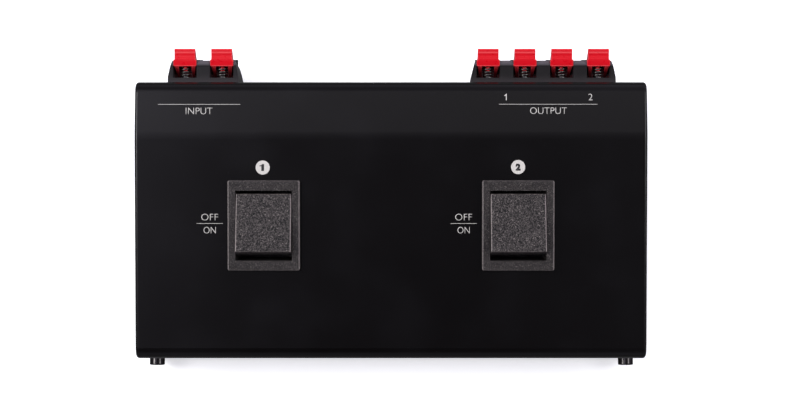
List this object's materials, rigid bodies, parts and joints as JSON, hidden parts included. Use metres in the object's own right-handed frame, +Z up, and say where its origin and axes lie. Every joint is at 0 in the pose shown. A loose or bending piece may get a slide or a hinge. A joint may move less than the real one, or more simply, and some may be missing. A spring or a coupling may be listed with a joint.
{
  "type": "speaker selector switch",
  "caption": "Low sloping steel box with rocker switches on top and sprung wire terminals on its rear, for switching speakers on and off.",
  "frame": {"origin": "centre of the overall box at floor level, under the feet", "axes": "+X along the width, to the right seen from the front; +Y to the rear, where the terminals are; +Z up"},
  "size_m": [0.177, 0.1106, 0.0449],
  "materials": {
    "case_paint": "satin black powder coat with a slight sheen",
    "tray_steel": "plain zinc-plated sheet",
    "foot_rubber": "matt black rubber",
    "case_screw": "glossy black zinc",
    "plain_screw": "bright zinc",
    "switch_plastic": "black nylon with a fine eroded texture",
    "rocker_plastic": "charcoal nylon with an eroded, speckled texture",
    "plunger_plastic": "natural acetal",
    "terminal_plastic": "satin black ABS",
    "lever_red": "bright red moulded ABS, satin to glossy",
    "lever_black": "black moulded ABS, satin to glossy",
    "spring_steel": "dark spring steel",
    "contact_metal": "tinned brass",
    "wire_red": "red PVC insulation",
    "wire_black": "black PVC insulation"
  },
  "bodies": {
    "case": {"top_cover": "case_paint", "base_tray": "tray_steel", "foot_front_left": "foot_rubber", "foot_front_right": "foot_rubber", "foot_rear_left": "foot_rubber", "foot_rear_right": "foot_rubber", "front_case_screws": "case_screw", "rear_case_screws": "case_screw", "front_case_washers": "case_screw", "rear_case_washers": "case_screw", "switch_1_body": "switch_plastic", "switch_1_lugs": "contact_metal", "switch_2_body": "switch_plastic", "switch_2_lugs": "contact_metal", "input_block_housing": "terminal_plastic", "input_contacts": "contact_metal", "output_block_housing": "terminal_plastic", "output_contacts": "contact_metal", "block_screws": "plain_screw", "red_wires": "wire_red", "black_wires": "wire_black", "input_spring_red_1": "spring_steel", "input_spring_black_1": "spring_steel", "input_spring_red_2": "spring_steel", "input_spring_black_2": "spring_steel", "output_spring_red_1": "spring_steel", "output_spring_black_1": "spring_steel", "output_spring_red_2": "spring_steel", "output_spring_black_2": "spring_steel", "output_spring_red_3": "spring_steel", "output_spring_black_3": "spring_steel", "output_spring_red_4": "spring_steel", "output_spring_black_4": "spring_steel"},
    "rocker_1": {"switch_1_rocker": "rocker_plastic", "switch_1_plungers": "plunger_plastic", "switch_1_plunger_springs": "spring_steel"},
    "arm_1_left": {"switch_1_contact_arm_left": "contact_metal"},
    "arm_1_right": {"switch_1_contact_arm_right": "contact_metal"},
    "rocker_2": {"switch_2_rocker": "rocker_plastic", "switch_2_plungers": "plunger_plastic", "switch_2_plunger_springs": "spring_steel"},
    "arm_2_left": {"switch_2_contact_arm_left": "contact_metal"},
    "arm_2_right": {"switch_2_contact_arm_right": "contact_metal"},
    "input_red_1": {"input_lever_red_1": "lever_red"},
    "input_black_1": {"input_lever_black_1": "lever_black"},
    "input_red_2": {"input_lever_red_2": "lever_red"},
    "input_black_2": {"input_lever_black_2": "lever_black"},
    "output_red_1": {"output_lever_red_1": "lever_red"},
    "output_black_1": {"output_lever_black_1": "lever_black"},
    "output_red_2": {"output_lever_red_2": "lever_red"},
    "output_black_2": {"output_lever_black_2": "lever_black"},
    "output_red_3": {"output_lever_red_3": "lever_red"},
    "output_black_3": {"output_lever_black_3": "lever_black"},
    "output_red_4": {"output_lever_red_4": "lever_red"},
    "output_black_4": {"output_lever_black_4": "lever_black"}
  },
  "joints": [
    {"name": "switch_1_rock", "type": "hinge", "parent": "case", "child": "rocker_1", "pos_m": [-0.0438, -0.0071, 0.03886], "axis": [1, 0, 0], "range_deg": [0, 25]},
    {"name": "contact_1_left_tilt", "type": "hinge", "parent": "case", "child": "arm_1_left", "pos_m": [-0.0486, -0.00612, 0.0309], "axis": [1, 0, 0], "range_deg": [-16, 0]},
    {"name": "contact_1_right_tilt", "type": "hinge", "parent": "case", "child": "arm_1_right", "pos_m": [-0.039, -0.00612, 0.0309], "axis": [1, 0, 0], "range_deg": [-16, 0]},
    {"name": "switch_2_rock", "type": "hinge", "parent": "case", "child": "rocker_2", "pos_m": [0.0438, -0.0071, 0.03886], "axis": [1, 0, 0], "range_deg": [0, 25]},
    {"name": "contact_2_left_tilt", "type": "hinge", "parent": "case", "child": "arm_2_left", "pos_m": [0.039, -0.00612, 0.0309], "axis": [1, 0, 0], "range_deg": [-16, 0]},
    {"name": "contact_2_right_tilt", "type": "hinge", "parent": "case", "child": "arm_2_right", "pos_m": [0.0486, -0.00612, 0.0309], "axis": [1, 0, 0], "range_deg": [-16, 0]},
    {"name": "input_red_1_press", "type": "hinge", "parent": "case", "child": "input_red_1", "pos_m": [-0.07235, 0.04655, 0.0278], "axis": [1, 0, 0], "range_deg": [0, 24], "stiffness_Nm_per_rad": 0.02, "springref_deg": -20.05, "deforming": ["input_spring_red_1"]},
    {"name": "input_black_1_press", "type": "hinge", "parent": "case", "child": "input_black_1", "pos_m": [-0.07235, 0.04655, 0.0172], "axis": [-1, 0, 0], "range_deg": [0, 24], "stiffness_Nm_per_rad": 0.02, "springref_deg": -20.05, "deforming": ["input_spring_black_1"]},
    {"name": "input_red_2_press", "type": "hinge", "parent": "case", "child": "input_red_2", "pos_m": [-0.05945, 0.04655, 0.0278], "axis": [1, 0, 0], "range_deg": [0, 24], "stiffness_Nm_per_rad": 0.02, "springref_deg": -20.05, "deforming": ["input_spring_red_2"]},
    {"name": "input_black_2_press", "type": "hinge", "parent": "case", "child": "input_black_2", "pos_m": [-0.05945, 0.04655, 0.0172], "axis": [-1, 0, 0], "range_deg": [0, 24], "stiffness_Nm_per_rad": 0.02, "springref_deg": -20.05, "deforming": ["input_spring_black_2"]},
    {"name": "output_red_1_press", "type": "hinge", "parent": "case", "child": "output_red_1", "pos_m": [0.03405, 0.04655, 0.0278], "axis": [1, 0, 0], "range_deg": [0, 24], "stiffness_Nm_per_rad": 0.02, "springref_deg": -20.05, "deforming": ["output_spring_red_1"]},
    {"name": "output_black_1_press", "type": "hinge", "parent": "case", "child": "output_black_1", "pos_m": [0.03405, 0.04655, 0.0172], "axis": [-1, 0, 0], "range_deg": [0, 24], "stiffness_Nm_per_rad": 0.02, "springref_deg": -20.05, "deforming": ["output_spring_black_1"]},
    {"name": "output_red_2_press", "type": "hinge", "parent": "case", "child": "output_red_2", "pos_m": [0.04695, 0.04655, 0.0278], "axis": [1, 0, 0], "range_deg": [0, 24], "stiffness_Nm_per_rad": 0.02, "springref_deg": -20.05, "deforming": ["output_spring_red_2"]},
    {"name": "output_black_2_press", "type": "hinge", "parent": "case", "child": "output_black_2", "pos_m": [0.04695, 0.04655, 0.0172], "axis": [-1, 0, 0], "range_deg": [0, 24], "stiffness_Nm_per_rad": 0.02, "springref_deg": -20.05, "deforming": ["output_spring_black_2"]},
    {"name": "output_red_3_press", "type": "hinge", "parent": "case", "child": "output_red_3", "pos_m": [0.05985, 0.04655, 0.0278], "axis": [1, 0, 0], "range_deg": [0, 24], "stiffness_Nm_per_rad": 0.02, "springref_deg": -20.05, "deforming": ["output_spring_red_3"]},
    {"name": "output_black_3_press", "type": "hinge", "parent": "case", "child": "output_black_3", "pos_m": [0.05985, 0.04655, 0.0172], "axis": [-1, 0, 0], "range_deg": [0, 24], "stiffness_Nm_per_rad": 0.02, "springref_deg": -20.05, "deforming": ["output_spring_black_3"]},
    {"name": "output_red_4_press", "type": "hinge", "parent": "case", "child": "output_red_4", "pos_m": [0.07275, 0.04655, 0.0278], "axis": [1, 0, 0], "range_deg": [0, 24], "stiffness_Nm_per_rad": 0.02, "springref_deg": -20.05, "deforming": ["output_spring_red_4"]},
    {"name": "output_black_4_press", "type": "hinge", "parent": "case", "child": "output_black_4", "pos_m": [0.07275, 0.04655, 0.0172], "axis": [-1, 0, 0], "range_deg": [0, 24], "stiffness_Nm_per_rad": 0.02, "springref_deg": -20.05, "deforming": ["output_spring_black_4"]}
  ],
  "couplings": [
    {"joint": "contact_1_left_tilt", "follows": "switch_1_rock", "ratio": -0.64},
    {"joint": "contact_1_right_tilt", "follows": "switch_1_rock", "ratio": -0.64},
    {"joint": "contact_2_left_tilt", "follows": "switch_2_rock", "ratio": -0.64},
    {"joint": "contact_2_right_tilt", "follows": "switch_2_rock", "ratio": -0.64}
  ]
}
